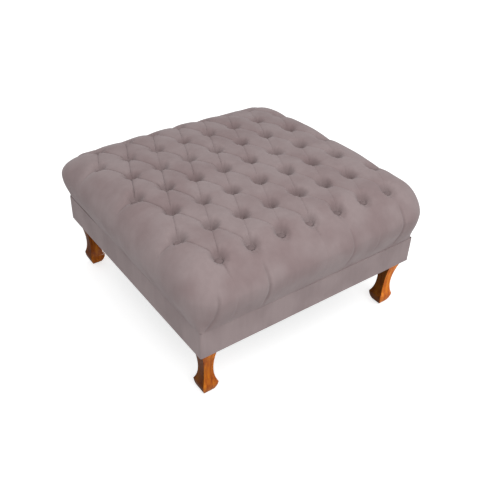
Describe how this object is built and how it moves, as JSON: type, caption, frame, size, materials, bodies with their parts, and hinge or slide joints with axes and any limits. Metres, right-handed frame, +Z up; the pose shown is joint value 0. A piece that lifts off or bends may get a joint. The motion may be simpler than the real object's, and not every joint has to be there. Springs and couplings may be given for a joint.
{
  "type": "pouf",
  "caption": "Low square footstool with a deep-buttoned diamond-tufted velvet top over a plain fabric band, on short square cabriole wooden legs.",
  "frame": {"origin": "on the floor under the middle of the pouf", "axes": "+Z up, +Y from the pleated front to the pleated back, X across the plain sides"},
  "size_m": [0.8664, 0.8942, 0.4677],
  "materials": {
    "tufted_velvet": "taupe velvet with soft sheen, over filling",
    "velvet": "taupe velvet with soft sheen",
    "button_velvet": "taupe velvet stretched over a button shell",
    "polished_wood": "honey-stained hardwood under gloss lacquer",
    "frame_wood": "planed beech, unfinished",
    "plywood": "birch plywood, unfinished",
    "foam": "open-cell upholstery foam",
    "dust_cloth": "black spun-bonded cloth",
    "twine": "waxed polyester twine",
    "zinc_steel": "zinc-plated steel",
    "glide_plastic": "moulded black plastic"
  },
  "bodies": {
    "root": {"band_back": "velvet", "band_front": "velvet", "band_left": "velvet", "band_right": "velvet", "bolt_nuts": "zinc_steel", "bolt_washers": "zinc_steel", "button_row_1": "button_velvet", "button_row_2": "button_velvet", "button_row_3": "button_velvet", "button_row_4": "button_velvet", "button_row_5": "button_velvet", "button_row_6": "button_velvet", "button_row_7": "button_velvet", "button_twines": "twine", "corner_block_back_left": "frame_wood", "corner_block_back_right": "frame_wood", "corner_block_front_left": "frame_wood", "corner_block_front_right": "frame_wood", "corner_block_screws": "zinc_steel", "cross_rail_back": "frame_wood", "cross_rail_front": "frame_wood", "cross_rail_screws": "zinc_steel", "deck_board": "plywood", "deck_screws": "zinc_steel", "dust_cover": "dust_cloth", "dust_cover_staples": "zinc_steel", "foam_block": "foam", "foam_topper": "foam", "glide_back_left": "glide_plastic", "glide_back_right": "glide_plastic", "glide_front_left": "glide_plastic", "glide_front_right": "glide_plastic", "hanger_bolts": "zinc_steel", "leg_back_left": "polished_wood", "leg_back_right": "polished_wood", "leg_front_left": "polished_wood", "leg_front_right": "polished_wood", "rail_back": "frame_wood", "rail_dowels": "frame_wood", "rail_front": "frame_wood", "rail_left": "frame_wood", "rail_right": "frame_wood", "tufted_cover": "tufted_velvet", "twine_anchors": "zinc_steel"}
  },
  "joints": []
}
